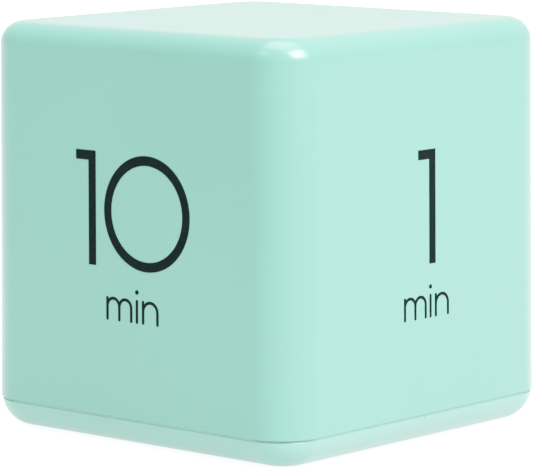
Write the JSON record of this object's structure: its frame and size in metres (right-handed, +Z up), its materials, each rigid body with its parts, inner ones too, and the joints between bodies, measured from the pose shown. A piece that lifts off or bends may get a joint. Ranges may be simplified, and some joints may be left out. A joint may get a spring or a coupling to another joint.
{
  "type": "kitchen timer",
  "caption": "Cube-shaped preset kitchen timer: it is laid on a side to start the preset printed on the face that is then on top.",
  "frame": {"origin": "middle of the underside, on the surface that the timer stands on", "axes": "+Z up; -Y out of the 10 min face, +X out of the 1 min face"},
  "size_m": [0.0636, 0.0636, 0.0635],
  "materials": {
    "mint_shell": "satin",
    "mint_base": "satin",
    "cell_jacket": "satin",
    "nickel": "satin",
    "steel": "satin",
    "brass": "satin",
    "board_laminate": "satin",
    "epoxy": "gloss",
    "ceramic": "matte",
    "black_plastic": "satin",
    "phenolic": "matte",
    "capacitor_sleeve": "satin",
    "red_vinyl": "satin",
    "black_vinyl": "satin",
    "print_ink": "satin"
  },
  "bodies": {
    "timer_body": {"outer_shell": "mint_shell", "base_cover": "mint_base", "battery_front": "cell_jacket", "battery_back": "cell_jacket", "bridge_contact": "nickel", "positive_contact": "nickel", "negative_contact": "nickel", "bridge_spring": "nickel", "negative_spring": "nickel", "circuit_board": "board_laminate", "controller_blob": "epoxy", "timing_crystal": "nickel", "smoothing_capacitor": "capacitor_sleeve", "board_screw_left": "steel", "board_screw_right": "steel", "sounder_disc": "brass", "sounder_ceramic": "ceramic", "switch_frame": "steel", "switch_terminals": "phenolic", "battery_lead_red": "red_vinyl", "battery_lead_black": "black_vinyl", "switch_lead_one": "red_vinyl", "switch_lead_two": "black_vinyl", "sounder_lead_red": "red_vinyl", "sounder_lead_black": "black_vinyl", "cover_screw_front_left": "steel", "cover_screw_front_right": "steel", "cover_screw_back_left": "steel", "cover_screw_back_right": "steel", "tilt_can_front": "nickel", "tilt_plug_front": "black_plastic", "tilt_can_right": "nickel", "tilt_plug_right": "black_plastic", "tilt_can_back": "nickel", "tilt_plug_back": "black_plastic", "tilt_can_left": "nickel", "tilt_plug_left": "black_plastic"},
    "battery_door": {"battery_door": "mint_base"},
    "power_slider": {"switch_slider": "black_plastic", "switch_knob": "black_plastic"},
    "ball_front": {"tilt_ball_front": "steel"},
    "ball_right": {"tilt_ball_right": "steel"},
    "ball_back": {"tilt_ball_back": "steel"},
    "ball_left": {"tilt_ball_left": "steel"}
  },
  "joints": [
    {"name": "battery_door_hinge", "type": "hinge", "parent": "timer_body", "child": "battery_door", "pos_m": [0, -0.01195, 0], "axis": [-1, 0, 0], "range_deg": [0, 70]},
    {"name": "power_slide", "type": "slide", "parent": "timer_body", "child": "power_slider", "axis": [1, 0, 0], "range_m": [0, 0.003]},
    {"name": "ball_roll_front", "type": "slide", "parent": "timer_body", "child": "ball_front", "axis": [0, -0.9781, 0.2079], "range_m": [0, 0.0031]},
    {"name": "ball_roll_right", "type": "slide", "parent": "timer_body", "child": "ball_right", "axis": [0.9781, 0, 0.2079], "range_m": [0, 0.0031]},
    {"name": "ball_roll_back", "type": "slide", "parent": "timer_body", "child": "ball_back", "axis": [0, 0.9781, 0.2079], "range_m": [0, 0.0031]},
    {"name": "ball_roll_left", "type": "slide", "parent": "timer_body", "child": "ball_left", "axis": [-0.9781, 0, 0.2079], "range_m": [0, 0.0031]}
  ]
}
